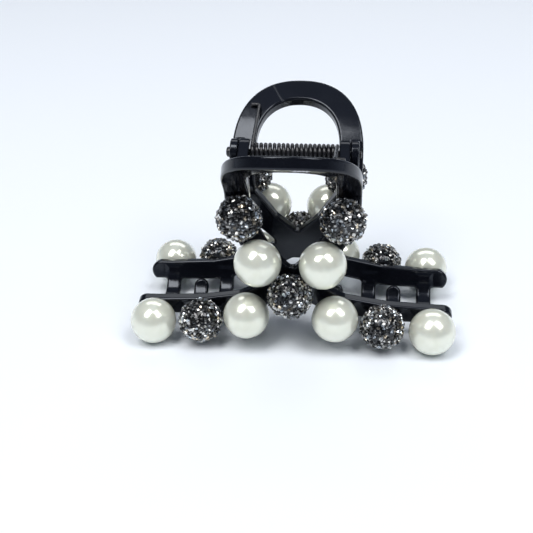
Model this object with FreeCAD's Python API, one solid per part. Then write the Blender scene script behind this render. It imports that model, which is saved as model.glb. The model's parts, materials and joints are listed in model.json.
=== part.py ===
import FreeCAD, Part
import math
import os

# Claw clip: two arms on one hinge pin, closed by a torsion spring, beads glued on the outer faces.
# Millimetres. +Z is up, +X runs along the jaws, +Y points to the back arm.
# The origin is on the surface that the clip stands on, below the hinge pin.
# An arm is a bent band: a point of its middle surface is (out, up), measured from the pin's axis,
# where out points away from the other arm.

Vector = FreeCAD.Vector

# ---- driving dimensions ----
BEAD_DIAMETER = 12.0
BAND_THICKNESS = 2.6
LEG_WIDTH = 6.4              # width of the legs between handle and jaws

JAW_RADIUS = 37.3            # the jaw's outward bulge, seen from the side
JAW_CENTRE = (-27.0, -30.7)
JAW_TOP_ANGLE = 25.2         # where the jaw turns into the neck
JAW_BOTTOM_ANGLE = -19.2
NECK_RADIUS = 9.0            # hollow side outwards
HANDLE_RADIUS = 62.9         # hollow side outwards too
HANDLE_ROOT_SLOPE = 48.0     # the handle's rise above the horizontal, where the neck ends
HANDLE_TIP_SLOPE = 27.0
HANDLE_THICKNESS = 3.2
HANDLE_HALF_WIDTH = 17.2
HANDLE_DOME = 22.2           # from the handle's widest place to its tip
HANDLE_SQUARENESS = 2.3      # 2 is an ellipse, more is squarer
HOLE_HALF_WIDTH = 10.9
HOLE_DOME = 13.5
HOLE_SQUARENESS = 2.2
RIM_WIDTH = 6.5              # the ring's width at the tip

TOOTH_RADIUS = 8.0           # bend of a tooth under the jaws
TOOTH_ROOT_ANGLE = -14.4     # where a tooth leaves the jaw's arc
TOOTH_TIP_ANGLE = -140.0
TOOTH_THICKNESS = 2.2
TOOTH_WIDTH = 4.0
BACK_TEETH = (20.0, 35.2)    # distance of each tooth from the middle, both sides
FRONT_TEETH = (11.0, 26.9)

BAR_WIDTH = 5.4
BAR_DROP = 0.9               # the jaw bar runs this far below the middle of its beads' seats
BAR_HALF_LENGTH = 41.6
RAIL = (HOLE_HALF_WIDTH, HANDLE_HALF_WIDTH)         # inner and outer edge of a handle's side
LEG_SPREAD = HANDLE_HALF_WIDTH - LEG_WIDTH / 2
LEG_OVERLAP = 1.0            # a leg's centre line runs this far past the hinge bead's seat
WAIST_HALF_WIDTH = 2.2
NOTCH_HALF_WIDTH = 1.0       # the V's bottom is narrower than the waist
WAIST_TOP = -30.7            # centre line of the V's lowest stretch
WAIST_BOTTOM = -32.4         # centre line of the stretch that bridges the jaw's two halves

# Beads: name, distance from the middle, height of the seat above the pin's axis
PEARL_SEATS = {"outer": (36.2, -39.8), "inner": (11.4, -37.1), "leg": (8.1, -23.9)}
CRYSTAL_SEATS = {"middle": (23.5, -39.0), "hinge": (12.8, -14.95)}
CENTRE_SEAT = (0.0, -31.4)
GLUE_GAP = 0.1               # the bead's flat stands this far off the band
GLUE_FLAT_RADIUS = 2.2       # flat on a bead where it meets the arm
PEG_RADIUS = 0.8
PEG_LENGTH = 4.0
PEG_CLEARANCE = 0.05

PIN_RADIUS = 0.9
PIN_RUNNING_CLEARANCE = 0.05
PIN_HEAD_RADIUS = 1.4
PIN_HEAD_LENGTH = 1.2
PIN_TAIL_LENGTH = 0.7

LUG_RADIUS = 3.4
FRONT_LUG = (11.2, 13.9)     # inner and outer face of the front arm's lugs
BACK_LUG = (14.1, 16.1)
LUG_FOOT = ((11.2, -1.4), (6.3, -8.0))  # where a lug's upper and lower edges run into the band

SPRING_WIRE = 1.0
SPRING_OUTSIDE = 5.0
SPRING_TURNS = 18
SPRING_HALF_LENGTH = 10.0
SPRING_LEG_X = 10.6
SPRING_LEG_REACH = 17.5      # the hook's distance out from the pin
HOOK_GAP = 0.05
SPRING_HOOK = 2.2            # the hook lies this far along the handle's inner face

DOME_STEP = 9                # degrees between the points of a dome's curve
CUT_REACH = 30.0             # the outlines are cut this far each way, past every face


def on_arc(centre, radius, degrees):
    angle = math.radians(degrees)
    return (centre[0] + radius * math.cos(angle), centre[1] + radius * math.sin(angle))


# ---- points of the side profile, worked out from the driving dimensions ----
NECK_CENTRE = on_arc(JAW_CENTRE, JAW_RADIUS + NECK_RADIUS, JAW_TOP_ANGLE)
NECK_START = JAW_TOP_ANGLE + 180
NECK_END = HANDLE_ROOT_SLOPE + 90
HANDLE_END = HANDLE_TIP_SLOPE + 90
HANDLE_ROOT = on_arc(NECK_CENTRE, NECK_RADIUS, NECK_END)
HANDLE_CENTRE = on_arc(NECK_CENTRE, NECK_RADIUS - HANDLE_RADIUS, NECK_END)
HANDLE_TIP = on_arc(HANDLE_CENTRE, HANDLE_RADIUS, HANDLE_END)
TOOTH_CENTRE = on_arc(JAW_CENTRE, JAW_RADIUS - TOOTH_RADIUS, TOOTH_ROOT_ANGLE)

BEAD_SINK = BEAD_DIAMETER / 2 - math.sqrt((BEAD_DIAMETER / 2) ** 2 - GLUE_FLAT_RADIUS ** 2)
BEAD_REACH = JAW_RADIUS + BAND_THICKNESS / 2 + GLUE_GAP + BEAD_DIAMETER / 2 - BEAD_SINK
LOWEST_SEAT_SINE = (PEARL_SEATS["outer"][1] - JAW_CENTRE[1]) / JAW_RADIUS
# The hinge axis is at this height because the outer pearls stand on the surface.
PIN_HEIGHT = BEAD_DIAMETER / 2 - JAW_CENTRE[1] - BEAD_REACH * LOWEST_SEAT_SINE


def place(out, up, x=0.0):
    """A point of the back arm, in the clip's own frame."""
    return Vector(x, out, PIN_HEIGHT + up)


def extrude_x(wire_edges, x_from, x_to):
    face = Part.Face(Part.Wire(wire_edges))
    face.translate(Vector(x_from, 0, 0))
    return face.extrude(Vector(x_to - x_from, 0, 0))


def arc_edge(centre, radius, start, end):
    points = [place(*on_arc(centre, radius, angle)) for angle in (start, (start + end) / 2, end)]
    return Part.Arc(*points).toShape()


def line_edge(first, second):
    return Part.LineSegment(first, second).toShape()


def arc_band(centre, radius, start, end, thickness, x_from, x_to):
    """A curved band of even thickness, x_from to x_to wide."""
    outer = arc_edge(centre, radius + thickness / 2, start, end)
    inner = arc_edge(centre, radius - thickness / 2, end, start)
    outer_end = place(*on_arc(centre, radius + thickness / 2, end))
    inner_end = place(*on_arc(centre, radius - thickness / 2, end))
    outer_start = place(*on_arc(centre, radius + thickness / 2, start))
    inner_start = place(*on_arc(centre, radius - thickness / 2, start))
    edges = [outer, line_edge(outer_end, inner_end), inner, line_edge(inner_start, outer_start)]
    return extrude_x(edges, x_from, x_to)


def stroke(first, second, width):
    """A bar with round ends between two (x, up) points, cut right through along Y."""
    radius = width / 2
    along = Vector(second[0] - first[0], 0, second[1] - first[1])
    along.normalize()
    side = Vector(-along.z, 0, along.x) * radius
    start = Vector(first[0], 0, PIN_HEIGHT + first[1])
    end = Vector(second[0], 0, PIN_HEIGHT + second[1])
    edges = [line_edge(start + side, end + side),
             Part.Arc(end + side, end + along * radius, end - side).toShape(),
             line_edge(end - side, start - side),
             Part.Arc(start - side, start - along * radius, start + side).toShape()]
    return Part.Face(Part.Wire(edges)).extrude(Vector(0, CUT_REACH, 0))


def jaw_outline():
    """Legs, waist and jaw bar, seen from the front."""
    pieces = []
    for side in (-1, 1):
        hinge = (side * LEG_SPREAD, CRYSTAL_SEATS["hinge"][1] + LEG_OVERLAP)
        leg = (side * PEARL_SEATS["leg"][0], PEARL_SEATS["leg"][1])
        waist_top = (side * NOTCH_HALF_WIDTH, WAIST_TOP)
        waist_bottom = (side * WAIST_HALF_WIDTH, WAIST_BOTTOM)
        inner = (side * PEARL_SEATS["inner"][0], PEARL_SEATS["inner"][1] - BAR_DROP / 2)
        middle = (side * CRYSTAL_SEATS["middle"][0], CRYSTAL_SEATS["middle"][1] - BAR_DROP)
        outer = (side * PEARL_SEATS["outer"][0], PEARL_SEATS["outer"][1] - BAR_DROP)
        end = (side * (BAR_HALF_LENGTH - BAR_WIDTH / 2), PEARL_SEATS["outer"][1] - BAR_DROP)
        pieces += [stroke(hinge, leg, LEG_WIDTH), stroke(leg, waist_top, LEG_WIDTH),
                   stroke(waist_bottom, inner, LEG_WIDTH), stroke(inner, middle, BAR_WIDTH),
                   stroke(middle, outer, BAR_WIDTH), stroke(outer, end, BAR_WIDTH)]
    for half_width, level in ((NOTCH_HALF_WIDTH, WAIST_TOP), (WAIST_HALF_WIDTH, WAIST_BOTTOM)):
        pieces.append(stroke((-half_width, level), (half_width, level), LEG_WIDTH))
    return pieces[0].multiFuse(pieces[1:])


def dome(half_width, height, squareness):
    """Half of a superellipse, as (x, rise) points from its right end over the top to its left end."""
    points = []
    for degrees in range(0, 181, DOME_STEP):
        x, rise = math.cos(math.radians(degrees)), abs(math.sin(math.radians(degrees)))
        points.append((math.copysign(half_width * abs(x) ** (2 / squareness), x),
                       height * rise ** (2 / squareness)))
    return points


def handle_ring():
    """The D-shaped ring: a bent plate, cut to its outline squarely to the line from root to tip."""
    root, tip = place(*HANDLE_ROOT), place(*HANDLE_TIP)
    along = tip - root
    length = along.Length
    along.normalize()
    normal = Vector(0, -along.z, along.y)
    cuts = []
    for half_width, height, squareness, top in (
            (HANDLE_HALF_WIDTH, HANDLE_DOME, HANDLE_SQUARENESS, length),
            (HOLE_HALF_WIDTH, HOLE_DOME, HOLE_SQUARENESS, length - RIM_WIDTH)):
        edge = [Vector(x, 0, 0) + root + along * (top - height + rise) - normal * CUT_REACH
                for x, rise in dome(half_width, height, squareness)]
        curve = Part.BSplineCurve()
        curve.interpolate(edge)
        low_right, low_left = edge[0] - along * length, edge[-1] - along * length
        wire = Part.Wire([curve.toShape(), line_edge(edge[-1], low_left),
                          line_edge(low_left, low_right), line_edge(low_right, edge[0])])
        cuts.append(Part.Face(wire).extrude(normal * (2 * CUT_REACH)))
    plate = arc_band(HANDLE_CENTRE, HANDLE_RADIUS, NECK_END, HANDLE_END, HANDLE_THICKNESS,
                     -HANDLE_HALF_WIDTH, HANDLE_HALF_WIDTH)
    return plate.common(cuts[0]).cut(cuts[1])


def tangent_point(target, clockwise):
    """Where a line from target touches the lug's round end, which is centred on the pin."""
    distance = math.hypot(*target)
    turn = math.acos(LUG_RADIUS / distance)
    angle = math.atan2(target[1], target[0]) + (-turn if clockwise else turn)
    return (LUG_RADIUS * math.cos(angle), LUG_RADIUS * math.sin(angle))


def lug(x_from, x_to):
    """One hinge ear, without its bore: a round end on the pin, widening into the band."""
    upper, lower = LUG_FOOT
    upper_touch = tangent_point(upper, clockwise=False)
    lower_touch = tangent_point(lower, clockwise=True)
    round_end = Part.Arc(place(*upper_touch), place(-LUG_RADIUS, 0), place(*lower_touch)).toShape()
    edges = [round_end, line_edge(place(*lower_touch), place(*lower)),
             line_edge(place(*lower), place(*upper)), line_edge(place(*upper), place(*upper_touch))]
    return extrude_x(edges, x_from, x_to)


def tooth(x):
    """A curved tooth that reaches under the hair space, with a rounded tip."""
    half = TOOTH_WIDTH / 2
    bend = arc_band(TOOTH_CENTRE, TOOTH_RADIUS, TOOTH_ROOT_ANGLE, TOOTH_TIP_ANGLE,
                    TOOTH_THICKNESS, x - half, x + half)
    inner = on_arc(TOOTH_CENTRE, TOOTH_RADIUS - TOOTH_THICKNESS / 2, TOOTH_TIP_ANGLE)
    outer = on_arc(TOOTH_CENTRE, TOOTH_RADIUS + TOOTH_THICKNESS / 2, TOOTH_TIP_ANGLE)
    start = place(*inner, x)
    tip = Part.makeCylinder(half, TOOTH_THICKNESS, start, place(*outer, x) - start)
    return bend.fuse(tip)


def seat_frame(x, up):
    """The point on the band's outer face under a bead, and the face's outward direction."""
    radius = JAW_RADIUS + BAND_THICKNESS / 2
    angle = math.degrees(math.asin((up - JAW_CENTRE[1]) / JAW_RADIUS))
    foot = place(*on_arc(JAW_CENTRE, radius, angle), x)
    centre = place(*JAW_CENTRE, x)
    outward = foot - centre
    outward.normalize()
    return foot, outward


def peg(x, up):
    foot, outward = seat_frame(x, up)
    root = foot - outward * (BAND_THICKNESS / 2)
    return Part.makeCylinder(PEG_RADIUS, PEG_LENGTH + BAND_THICKNESS / 2, root, outward)


def seats():
    """Every bead of one arm: name to (x, height of its seat)."""
    found = {"crystal_centre": CENTRE_SEAT}
    for kind, table in (("pearl", PEARL_SEATS), ("crystal", CRYSTAL_SEATS)):
        for name, (x, up) in table.items():
            found[kind + "_" + name + "_left"] = (-x, up)
            found[kind + "_" + name + "_right"] = (x, up)
    return found


def arm(teeth, lug_faces, bore_radius):
    """The back arm's moulding. The front arm is the mirror image with its own teeth and lugs."""
    jaw = arc_band(JAW_CENTRE, JAW_RADIUS, JAW_BOTTOM_ANGLE, JAW_TOP_ANGLE, BAND_THICKNESS,
                   -BAR_HALF_LENGTH, BAR_HALF_LENGTH).common(jaw_outline())
    pieces = [handle_ring()]
    for side in (-1, 1):
        rail = sorted(side * edge for edge in RAIL)
        pieces.append(arc_band(NECK_CENTRE, NECK_RADIUS, NECK_START, NECK_END, BAND_THICKNESS, *rail))
        pieces.append(lug(*sorted(side * face for face in lug_faces)))
        pieces += [tooth(side * x) for x in teeth]
    pieces += [peg(x, up) for x, up in seats().values()]
    moulding = jaw.multiFuse(pieces)
    bore = Part.makeCylinder(bore_radius, 2 * HANDLE_HALF_WIDTH,
                             place(0, 0, -HANDLE_HALF_WIDTH), Vector(1, 0, 0))
    return moulding.cut(bore).removeSplitter()


def bead(x, up):
    """A ball with a glue flat and a blind hole for its peg."""
    radius = BEAD_DIAMETER / 2
    foot, outward = seat_frame(x, up)
    centre = foot + outward * (radius - BEAD_SINK + GLUE_GAP)
    ball = Part.makeSphere(radius, centre)
    below = Part.makeCylinder(radius, radius, foot + outward * (GLUE_GAP - radius), outward)
    hole = Part.makeCylinder(PEG_RADIUS + PEG_CLEARANCE, PEG_LENGTH + PEG_CLEARANCE, foot, outward)
    return ball.cut(below).cut(hole)


def hinge_pin():
    head_start = place(0, 0, -BACK_LUG[1] - PIN_HEAD_LENGTH)
    shaft_length = 2 * BACK_LUG[1] + PIN_HEAD_LENGTH + PIN_TAIL_LENGTH
    along = Vector(1, 0, 0)
    shaft = Part.makeCylinder(PIN_RADIUS, shaft_length, head_start, along)
    head = Part.makeCylinder(PIN_HEAD_RADIUS, PIN_HEAD_LENGTH, head_start, along)
    return shaft.fuse(head).removeSplitter()


def spring_leg(side):
    """A leg from the coil's top to the handle's inner face, where its end is hooked outwards."""
    radius = SPRING_WIRE / 2
    top = (SPRING_OUTSIDE - SPRING_WIRE) / 2
    rest_radius = HANDLE_RADIUS + HANDLE_THICKNESS / 2 + HOOK_GAP + radius
    rest_angle = math.degrees(math.acos((SPRING_LEG_REACH - HANDLE_CENTRE[0]) / rest_radius))
    x = side * SPRING_LEG_X
    start = place(0, top, x)
    corner = place(*on_arc(HANDLE_CENTRE, rest_radius, rest_angle), x)
    run = corner - start
    straight = Part.makeCylinder(radius, run.Length, start, run)
    hook = Part.makeCylinder(radius, SPRING_HOOK, corner, Vector(side, 0, 0))
    return straight.multiFuse([hook, Part.makeSphere(radius, corner)])


def spring_coil():
    """The coil round the pin."""
    mean = (SPRING_OUTSIDE - SPRING_WIRE) / 2
    length = 2 * SPRING_HALF_LENGTH - SPRING_WIRE
    helix = Part.makeHelix(length / SPRING_TURNS, length, mean)
    section = Part.Wire(Part.makeCircle(SPRING_WIRE / 2, Vector(mean, 0, 0), Vector(0, 1, 0)))
    coil = Part.Wire(helix.Edges).makePipeShell([section], True, True)
    coil.rotate(Vector(0, 0, 0), Vector(0, 1, 0), 90)
    coil.translate(place(0, 0, -length / 2))
    return coil


def mirrored(shape):
    return shape.mirror(Vector(0, 0, 0), Vector(0, 1, 0))


def build():
    nodes = {"back_arm": arm(BACK_TEETH, BACK_LUG, PIN_RADIUS),
             "front_arm": mirrored(arm(FRONT_TEETH, FRONT_LUG, PIN_RADIUS + PIN_RUNNING_CLEARANCE)),
             "hinge_pin": hinge_pin(),
             "spring_coil": spring_coil(),
             "spring_back_leg": spring_leg(-1),
             "spring_front_leg": mirrored(spring_leg(1))}
    for name, (x, up) in seats().items():
        nodes["back_" + name] = bead(x, up)
        nodes["front_" + name] = mirrored(bead(x, up))
    return nodes


os.makedirs("parts", exist_ok=True)
for node_name, node_shape in build().items():
    node_shape.exportStep("parts/" + node_name + ".step")
    print(node_name, node_shape.isValid(), len(node_shape.Solids), round(node_shape.Volume, 2))
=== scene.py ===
import json
import math
import random

import bmesh
import bpy
import numpy as np
from mathutils import Matrix, Vector
from mathutils.kdtree import KDTree


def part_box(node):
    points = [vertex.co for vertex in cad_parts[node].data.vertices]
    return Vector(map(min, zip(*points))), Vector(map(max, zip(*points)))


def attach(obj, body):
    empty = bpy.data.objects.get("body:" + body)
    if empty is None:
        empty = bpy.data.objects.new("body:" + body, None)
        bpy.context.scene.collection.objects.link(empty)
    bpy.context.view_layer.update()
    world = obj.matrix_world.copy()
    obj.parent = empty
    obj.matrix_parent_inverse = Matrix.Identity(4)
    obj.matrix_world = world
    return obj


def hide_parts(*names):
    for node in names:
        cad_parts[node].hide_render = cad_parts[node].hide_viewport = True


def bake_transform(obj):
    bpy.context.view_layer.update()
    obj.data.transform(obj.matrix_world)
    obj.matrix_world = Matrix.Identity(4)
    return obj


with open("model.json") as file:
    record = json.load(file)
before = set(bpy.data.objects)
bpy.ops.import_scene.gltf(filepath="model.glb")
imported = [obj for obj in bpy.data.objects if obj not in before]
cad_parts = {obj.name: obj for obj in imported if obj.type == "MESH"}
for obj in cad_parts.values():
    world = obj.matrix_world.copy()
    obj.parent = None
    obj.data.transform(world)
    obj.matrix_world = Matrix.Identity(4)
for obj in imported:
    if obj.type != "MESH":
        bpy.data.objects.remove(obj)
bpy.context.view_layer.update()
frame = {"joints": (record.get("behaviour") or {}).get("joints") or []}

# Claw clip. Shapes are worked out in millimetres and turned into metres when a mesh is made.
# An arm is a bent band. A point of it is (x, out, up), measured from the hinge axis, where out
# points away from the other arm: the back arm's out is +Y and the front arm's is -Y.

MM = 0.001
HINGE = next(j for j in frame["joints"] if j["name"] == "jaw_hinge")
PIN_UP = HINGE["pos_m"][2] / MM
BACK, FRONT = "back_half", "front_half"
OUT_SIGN = {"back": 1.0, "front": -1.0}
BODY = {"back": BACK, "front": FRONT}

# ---- the arms' dimensions ----
BAND = 2.6               # thickness of the neck and the jaw
LEG_WIDTH = 6.4
LEG_TOP = 1.0            # how far a leg starts above the foot of its hinge bead
JAW_RADIUS = 37.3
JAW_CENTRE = (-27.0, -30.7)
JAW_TOP = 25.2
JAW_BOTTOM = -19.2
NECK_RADIUS = 9.0
HANDLE_RADIUS = 62.9
ROOT_SLOPE = 48.0
TIP_SLOPE = 27.0
HANDLE_THICKNESS = 3.2
HANDLE_HALF_WIDTH = 17.2
HANDLE_DOME = 22.2
HANDLE_SQUARENESS = 2.3  # 2 is an ellipse, more is squarer
HANDLE_OVERLAP = 1.0     # how far the handle's outline runs down into the legs
HOLE_HALF_WIDTH = 10.9
HOLE_DOME = 13.5
HOLE_SQUARENESS = 2.2
RIM_WIDTH = 6.5
BAR_WIDTH = 5.4
BAR_DROP = 0.9
BAR_HALF_LENGTH = 41.6
TOOTH_RADIUS = 8.0
TOOTH_ROOT = -14.4
TOOTH_TIP = -140.0
TOOTH_ROOT_THICKNESS = 2.4
TOOTH_TIP_THICKNESS = 1.9
TOOTH_WIDTH = 4.0
TOOTH_OVERLAP = 1.0      # how far a tooth starts inside the jaw
TEETH = {"back": (20.0, 35.2), "front": (11.0, 26.9)}
LUG_RADIUS = 3.4
# The two corners where an ear meets the band, as (out, up).
LUG_FOOT = ((11.2, -1.4), (6.3, -8.0))
LUG_FACES = {"back": (14.1, 16.1), "front": (11.2, 13.9)}
BORE = {"back": 0.9, "front": 0.97}
# Where the beads sit: x and up of the bead's foot on the band.
SEATS = {"crystal_centre": (0.0, -31.4), "pearl_outer": (36.2, -39.8), "pearl_inner": (11.4, -37.1),
         "pearl_leg": (8.1, -23.9), "crystal_middle": (23.5, -39.0), "crystal_hinge": (12.8, -14.95)}
NOTCH = (1.0, -30.7)     # bottom of the V
WAIST = (2.2, -32.4)     # top of the arch under it

BAND_EDGE = 0.62         # rounding along the band's edges
TOOTH_EDGE = 0.7
LUG_EDGE = 0.35
INNER_CORNER = 1.3       # rounding of the outline's inner corners
ROOT_FILLET = 0.8

PEARL_RADIUS = 6.0
FLAT_RADIUS = 2.2        # the glue flat on a bead's underside
PEG_RADIUS = 0.72
PEG_LENGTH = 3.9
PEG_SUNK = 1.0           # how far a peg starts inside the band
PEG_EDGE = 0.2
HOLE_RADIUS = 0.85
HOLE_DEPTH = 4.05
HOLE_FLARE = 0.08        # the blind hole's mouth widens by this
HOLE_FLARE_DEPTH = 0.12
FLAT_BREAK = 0.1         # width of the broken edge round the flat

# ---- how finely the arms are made ----
VOXEL = 0.26
ARM_LOW = (0.0, -9.0, -48.0)      # limits of the space that holds half an arm
ARM_HIGH = (42.6, 28.4, 13.0)
SETTLE_ROUNDS = 2
RELAX_ROUNDS = 2
RELAX_SHARE = 0.5
SLOPE_REACH = 0.03
NORMAL_FLOOR = 0.05      # least squared slopes, for places where the distance is flat
SETTLE_FLOOR = 0.2
NEAR_EDGE = 2.4          # inner corners are rounded within this distance of the outline
FAR = 1e3


# ---- small helpers ----
def on_arc(centre, radius, degrees):
    angle = math.radians(degrees)
    return (centre[0] + radius * math.cos(angle), centre[1] + radius * math.sin(angle))


NECK_CENTRE = on_arc(JAW_CENTRE, JAW_RADIUS + NECK_RADIUS, JAW_TOP)
NECK_END = ROOT_SLOPE + 90
NECK_LENGTH = NECK_RADIUS * math.radians(JAW_TOP + 180 - NECK_END)
JAW_LENGTH = JAW_RADIUS * math.radians(JAW_TOP - JAW_BOTTOM)
ROOT = on_arc(NECK_CENTRE, NECK_RADIUS, NECK_END)
HANDLE_CENTRE = on_arc(NECK_CENTRE, NECK_RADIUS - HANDLE_RADIUS, NECK_END)
HANDLE_LENGTH = HANDLE_RADIUS * math.radians(ROOT_SLOPE - TIP_SLOPE)
TIP_LENGTH = NECK_LENGTH + HANDLE_LENGTH
LEG_INNER_EDGE = HANDLE_HALF_WIDTH - LEG_WIDTH
TOOTH_CENTRE = on_arc(JAW_CENTRE, JAW_RADIUS - TOOTH_RADIUS, TOOTH_ROOT)
TOOTH_LENGTH = TOOTH_RADIUS * math.radians(TOOTH_ROOT - TOOTH_TIP)
SIN_SLOPE, COS_SLOPE = math.sin(math.radians(ROOT_SLOPE)), math.cos(math.radians(ROOT_SLOPE))


def round_and(a, b, radius):
    """Where both distances are negative, with the edge between them rounded."""
    return (np.minimum(np.maximum(a, b), -radius)
            + np.hypot(np.maximum(a + radius, 0), np.maximum(b + radius, 0)))


def round_or(a, b, radius):
    """Either shape, with a fillet where they meet."""
    return (np.maximum(np.minimum(a, b), radius)
            - np.hypot(np.maximum(radius - a, 0), np.maximum(radius - b, 0)))


def capsule(x, y, first, second, radius):
    ax, ay = second[0] - first[0], second[1] - first[1]
    share = np.clip(((x - first[0]) * ax + (y - first[1]) * ay) / (ax * ax + ay * ay), 0, 1)
    return np.hypot(x - first[0] - share * ax, y - first[1] - share * ay) - radius


def unroll(out, up):
    """A point's distance from the band's middle line, and how far along that line it is.

    The length is 0 where the jaw turns into the neck, and grows towards the handle.
    """
    past_root = (out - ROOT[0]) * COS_SLOPE + (up - ROOT[1]) * SIN_SLOPE
    handle_turn = np.degrees(np.arctan2(up - HANDLE_CENTRE[1], out - HANDLE_CENTRE[0]))
    handle_off = np.hypot(out - HANDLE_CENTRE[0], up - HANDLE_CENTRE[1]) - HANDLE_RADIUS
    neck_turn = np.degrees(np.arctan2(up - NECK_CENTRE[1], out - NECK_CENTRE[0])) % 360
    neck_off = np.hypot(out - NECK_CENTRE[0], up - NECK_CENTRE[1]) - NECK_RADIUS
    jaw_turn = np.degrees(np.arctan2(up - JAW_CENTRE[1], out - JAW_CENTRE[0]))
    jaw_off = JAW_RADIUS - np.hypot(out - JAW_CENTRE[0], up - JAW_CENTRE[1])
    top = math.radians(JAW_TOP)
    above = (up - JAW_CENTRE[1]) * math.cos(top) - (out - JAW_CENTRE[0]) * math.sin(top)
    in_handle, in_jaw = past_root >= 0, above < 0
    off = np.where(in_handle, handle_off, np.where(in_jaw, jaw_off, neck_off))
    length = np.where(in_handle, NECK_LENGTH + HANDLE_RADIUS * np.radians(NECK_END - handle_turn),
                      np.where(in_jaw, JAW_RADIUS * np.radians(jaw_turn - JAW_TOP),
                               NECK_RADIUS * np.radians(JAW_TOP + 180 - neck_turn)))
    return off, length


def smooth(value):
    value = np.clip(value, 0, 1)
    return value * value * (3 - 2 * value)


def dome(x, rise, half_width, height, squareness):
    """Signed distance to a shape with straight sides below and half a superellipse on top."""
    across, over = np.abs(x) / half_width, np.maximum(rise, 0) / height
    size = np.maximum((across ** squareness + over ** squareness) ** (1 / squareness), 1e-3)
    slope_x = (across / size) ** (squareness - 1) / half_width
    slope_y = (over / size) ** (squareness - 1) / height
    return (size - 1) / np.maximum(np.hypot(slope_x, slope_y), 1e-3)


# ---- the outline of the flat, unrolled band ----
class Outline:
    """A table of signed distance to the unrolled band's outline, one side of it."""
    STEP = 0.12
    MARGIN = 4.0

    def __init__(self):
        self.low = -JAW_LENGTH - self.MARGIN
        high = TIP_LENGTH + self.MARGIN
        xs = np.arange(0, BAR_HALF_LENGTH + self.MARGIN, self.STEP)
        lengths = np.arange(self.low, high, self.STEP)
        x, length = np.meshgrid(xs, lengths, indexing="ij")
        raw = self.raw(x, length)
        self.table = self.close_corners(raw, x, length)

    @staticmethod
    def raw(x, length):
        turn = np.radians(JAW_TOP) + length / JAW_RADIUS
        top_up = JAW_CENTRE[1] + JAW_RADIUS * math.sin(math.radians(JAW_TOP))
        up = np.where(length < 0, JAW_CENTRE[1] + JAW_RADIUS * np.sin(turn),
                      top_up + length * math.cos(math.radians(JAW_TOP)))
        leg_x = HANDLE_HALF_WIDTH - LEG_WIDTH / 2
        hinge = (leg_x, SEATS["crystal_hinge"][1] + LEG_TOP)
        inner = (SEATS["pearl_inner"][0], SEATS["pearl_inner"][1] - BAR_DROP / 2)
        middle = (SEATS["crystal_middle"][0], SEATS["crystal_middle"][1] - BAR_DROP)
        outer = (SEATS["pearl_outer"][0], SEATS["pearl_outer"][1] - BAR_DROP)
        end = (BAR_HALF_LENGTH - BAR_WIDTH / 2, outer[1])
        strokes = [(hinge, SEATS["pearl_leg"], LEG_WIDTH), (SEATS["pearl_leg"], NOTCH, LEG_WIDTH),
                   ((-NOTCH[0], NOTCH[1]), NOTCH, LEG_WIDTH),
                   ((-WAIST[0], WAIST[1]), WAIST, LEG_WIDTH), (WAIST, inner, LEG_WIDTH),
                   (inner, middle, BAR_WIDTH), (middle, outer, BAR_WIDTH), (outer, end, BAR_WIDTH)]
        jaw = np.full(x.shape, FAR)
        for first, second, width in strokes:
            jaw = np.minimum(jaw, capsule(x, up, first, second, width / 2))
        outside = dome(x, length - TIP_LENGTH + HANDLE_DOME,
                       HANDLE_HALF_WIDTH, HANDLE_DOME, HANDLE_SQUARENESS)
        # Below the neck the opening is as narrow as the gap between the legs.
        narrowing = (HOLE_HALF_WIDTH - LEG_INNER_EDGE) * (1 - smooth(length / NECK_LENGTH))
        hole = dome(np.abs(x) + narrowing, length - TIP_LENGTH + RIM_WIDTH + HOLE_DOME,
                    HOLE_HALF_WIDTH, HOLE_DOME, HOLE_SQUARENESS)
        handle = np.maximum(np.maximum(outside, -hole), -HANDLE_OVERLAP - length)
        return np.maximum(np.minimum(jaw, handle), -JAW_LENGTH - length)

    def close_corners(self, raw, x, length):
        """Rounds the inner corners: grows the shape and shrinks it again."""
        grown = raw - INNER_CORNER
        edge = []
        for axis in (0, 1):
            a = grown[:-1] if axis == 0 else grown[:, :-1]
            b = grown[1:] if axis == 0 else grown[:, 1:]
            i, j = np.nonzero((a < 0) != (b < 0))
            share = a[i, j] / (a[i, j] - b[i, j])
            edge.append(np.stack([x[i, j] + (share * self.STEP if axis == 0 else 0),
                                  length[i, j] + (share * self.STEP if axis == 1 else 0)], 1))
        points = np.concatenate(edge)
        points = np.concatenate([points, (points * [-1, 1])[points[:, 0] < 3 * INNER_CORNER]])
        tree = KDTree(len(points))
        for index, (px, py) in enumerate(points.tolist()):
            tree.insert((px, py, 0.0), index)
        tree.balance()
        closed = raw.copy()
        near_i, near_j = np.nonzero(np.abs(raw) < NEAR_EDGE)
        for i, j in zip(near_i.tolist(), near_j.tolist()):
            distance = tree.find((x[i, j], length[i, j], 0.0))[2]
            closed[i, j] = INNER_CORNER + (distance if grown[i, j] > 0 else -distance)
        return closed

    def __call__(self, x, length):
        fx = np.clip(np.abs(x) / self.STEP, 0, self.table.shape[0] - 1.001)
        fl = np.clip((length - self.low) / self.STEP, 0, self.table.shape[1] - 1.001)
        i, j = fx.astype(np.int32), fl.astype(np.int32)
        tx, tl = fx - i, fl - j
        t = self.table
        return ((t[i, j] * (1 - tx) + t[i + 1, j] * tx) * (1 - tl)
                + (t[i, j + 1] * (1 - tx) + t[i + 1, j + 1] * tx) * tl)


outline = Outline()


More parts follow.
